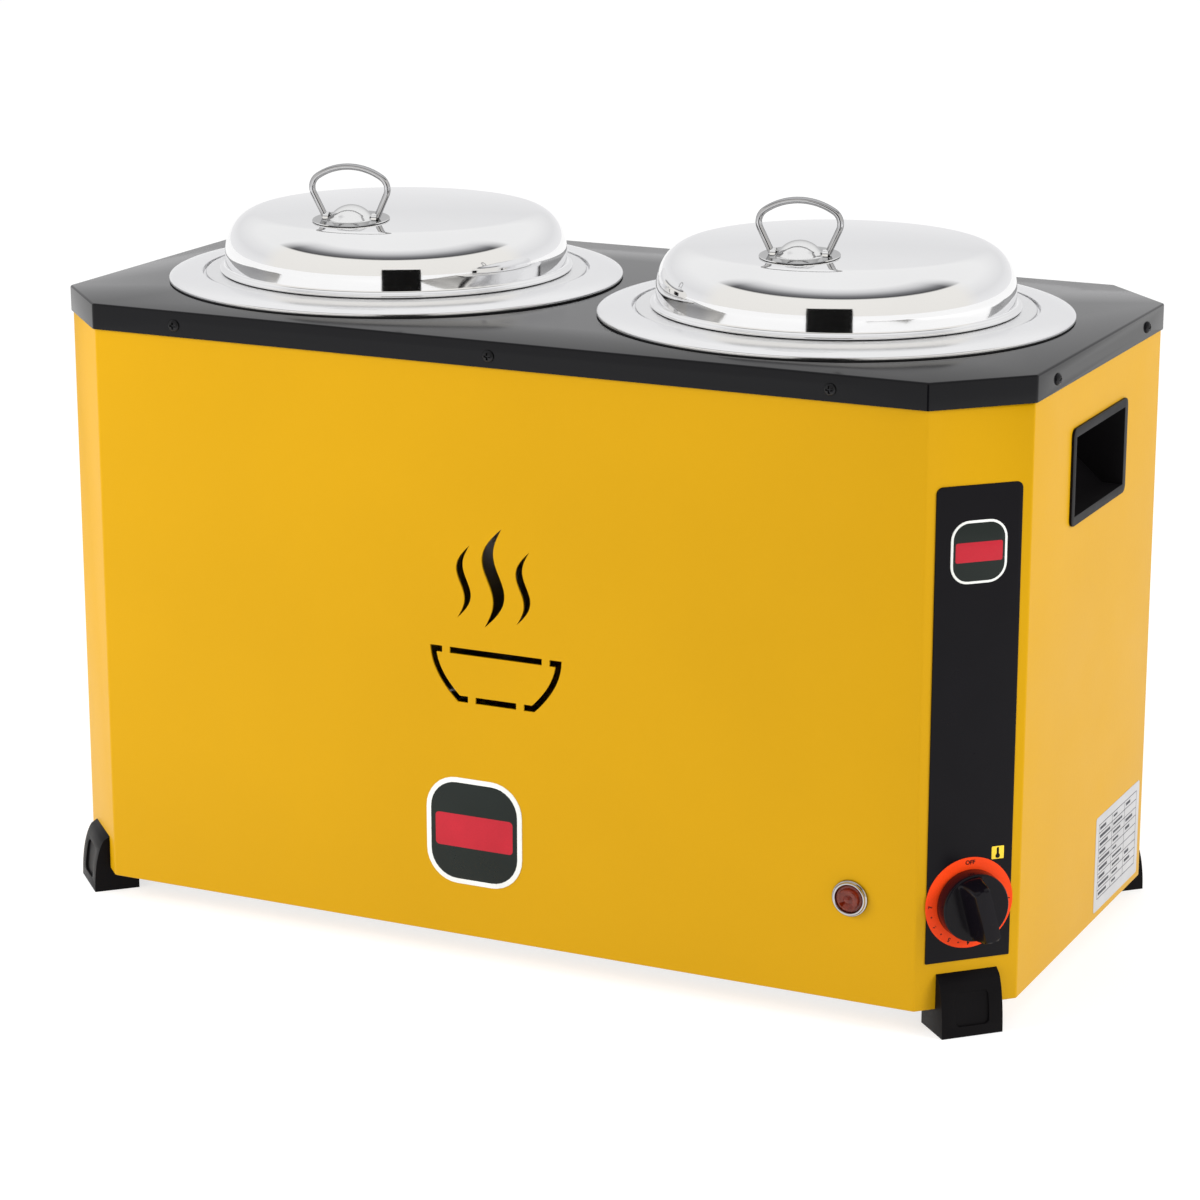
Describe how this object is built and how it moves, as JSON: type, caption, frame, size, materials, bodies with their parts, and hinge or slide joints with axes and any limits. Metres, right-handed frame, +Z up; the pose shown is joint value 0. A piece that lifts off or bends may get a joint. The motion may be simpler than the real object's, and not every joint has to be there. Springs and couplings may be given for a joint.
{
  "type": "twin soup kettle",
  "caption": "Counter-top electric soup warmer: octagonal painted casing, lift-out lidded pots in wells, thermostat knob and lamp on the front.",
  "frame": {"origin": "on the table, under the middle of the casing", "axes": "+X to the operator's right along the casing's long side, +Y from front to back, +Z up"},
  "size_m": [0.6682, 0.352, 0.4824],
  "materials": {
    "shell_paint": "satin powder coat",
    "cap_paint": "satin powder coat",
    "polished_steel": "polished stainless steel",
    "satin_steel": "satin stainless steel",
    "zinc_steel": "zinc plated",
    "black_steel": "blackened screws",
    "black_plastic": "moulded, fine grain",
    "knob_plastic": "moulded, semi-gloss",
    "panel_face": "printed overlay",
    "dial_print": "printed ring",
    "lens_amber": "transparent moulding",
    "white_plastic": "moulded",
    "seal_rubber": "silicone",
    "copper_tube": "drawn copper",
    "earth_brass": "turned brass",
    "heater_steel": "heat-tinted steel",
    "block_ceramic": "unglazed",
    "lead_cover": "silicone lead cover",
    "badge_print": null,
    "label_print": null
  },
  "bodies": {
    "root": {"body_shell": "shell_paint", "cap": "cap_paint", "cap_screws": "black_steel", "bottom_plate": "zinc_steel", "bottom_screws": "zinc_steel", "foot_front_right": "black_plastic", "foot_rear_right": "black_plastic", "foot_rear_left": "black_plastic", "foot_front_left": "black_plastic", "foot_screws": "zinc_steel", "grip_left": "black_plastic", "grip_right": "black_plastic", "well_left": "satin_steel", "well_right": "satin_steel", "well_seal_left": "seal_rubber", "well_seal_right": "seal_rubber", "control_panel": "panel_face", "dial_ring": "dial_print", "thermostat_body": "block_ceramic", "thermostat_screws": "zinc_steel", "capillary_tube": "copper_tube", "sensor_bulb": "copper_tube", "bulb_clip": "zinc_steel", "lamp_bezel": "polished_steel", "lamp_lens": "lens_amber", "lamp_barrel": "white_plastic", "lamp_nut": "white_plastic", "heater_left": "heater_steel", "heater_right": "heater_steel", "heater_plate_left": "zinc_steel", "heater_plate_right": "zinc_steel", "heater_nuts": "zinc_steel", "terminal_block": "block_ceramic", "cord_gland": "black_plastic", "gland_nut": "black_plastic", "earth_stud": "earth_brass", "wiring": "lead_cover", "front_badge": "badge_print", "panel_badge": "badge_print", "rating_label": "label_print"},
    "left_pot": {"pot_left": "satin_steel"},
    "right_pot": {"pot_right": "satin_steel"},
    "left_lid": {"lid_left": "polished_steel", "lid_saddle_left": "polished_steel", "lid_handle_left": "polished_steel"},
    "right_lid": {"lid_right": "polished_steel", "lid_saddle_right": "polished_steel", "lid_handle_right": "polished_steel"},
    "dial_knob": {"knob": "knob_plastic", "thermostat_shaft": "zinc_steel"}
  },
  "joints": [
    {"name": "left_pot_lift", "type": "slide", "parent": "root", "child": "left_pot", "axis": [0, 0, 1], "range_m": [0, 0.32]},
    {"name": "right_pot_lift", "type": "slide", "parent": "root", "child": "right_pot", "axis": [0, 0, 1], "range_m": [0, 0.32]},
    {"name": "left_lid_lift", "type": "slide", "parent": "left_pot", "child": "left_lid", "axis": [0, 0, 1], "range_m": [0, 0.1]},
    {"name": "right_lid_lift", "type": "slide", "parent": "right_pot", "child": "right_lid", "axis": [0, 0, 1], "range_m": [0, 0.1]},
    {"name": "knob_turn", "type": "hinge", "parent": "root", "child": "dial_knob", "pos_m": [0.306, -0.146, 0.0815], "axis": [-0.7071, 0.7071, 0], "range_deg": [-165, 105]}
  ]
}
